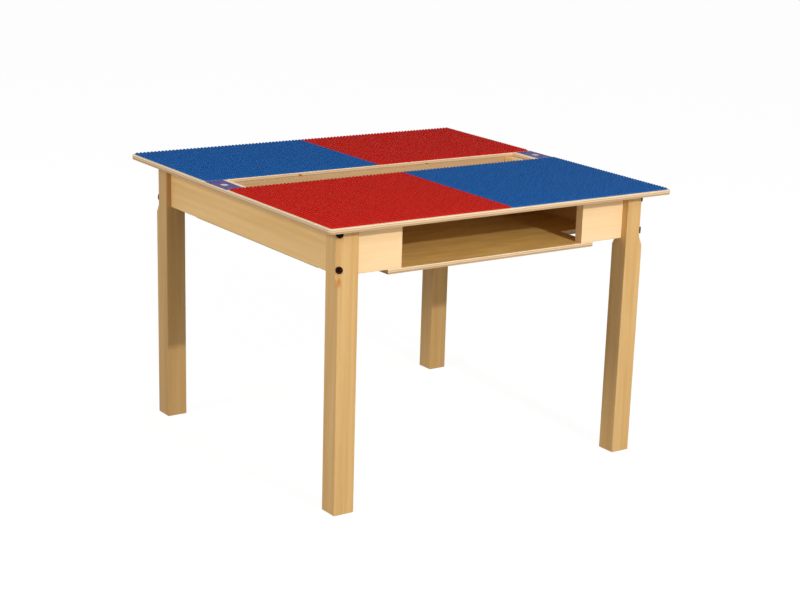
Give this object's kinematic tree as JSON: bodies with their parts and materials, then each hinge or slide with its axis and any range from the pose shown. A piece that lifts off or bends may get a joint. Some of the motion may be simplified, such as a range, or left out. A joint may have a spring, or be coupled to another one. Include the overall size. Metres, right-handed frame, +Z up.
{
  "type": "kids table with storage",
  "caption": "Wooden children's building table with stud plates on top, a centre storage trough and an open shelf under the top.",
  "frame": {"origin": "on the floor, under the middle of the tabletop", "axes": "X along the table's long front edge, +Y from the front to the back, +Z up"},
  "size_m": [0.78, 0.748, 0.5414],
  "materials": {
    "birch_plywood": "satin lacquer",
    "leg_pine": "satin lacquer",
    "apron_pine": "satin lacquer",
    "inner_pine": "satin lacquer",
    "red_plastic": "glossy",
    "blue_plastic": "glossy",
    "printed_label": "printed film",
    "black_steel": "black, satin",
    "zinc_steel": "zinc plated"
  },
  "bodies": {
    "root": {"top_panel": "birch_plywood", "stud_plate_front_left": "red_plastic", "stud_plate_front_right": "blue_plastic", "stud_plate_back_left": "blue_plastic", "stud_plate_back_right": "red_plastic", "label_left": "printed_label", "label_right": "printed_label", "trough_wall_front": "inner_pine", "trough_wall_back": "inner_pine", "leg_front_left": "leg_pine", "leg_front_right": "leg_pine", "leg_back_left": "leg_pine", "leg_back_right": "leg_pine", "side_apron_left": "apron_pine", "side_apron_right": "apron_pine", "short_apron_front_left": "apron_pine", "short_apron_front_right": "apron_pine", "short_apron_back_left": "apron_pine", "short_apron_back_right": "apron_pine", "corner_block_front_left": "inner_pine", "corner_block_front_right": "inner_pine", "corner_block_back_left": "inner_pine", "corner_block_back_right": "inner_pine", "storage_shelf": "birch_plywood", "leg_bolts": "black_steel", "bolt_washers": "zinc_steel", "bolt_nuts": "zinc_steel", "block_screws": "zinc_steel", "top_screws": "zinc_steel", "shelf_screws": "zinc_steel"}
  },
  "joints": []
}
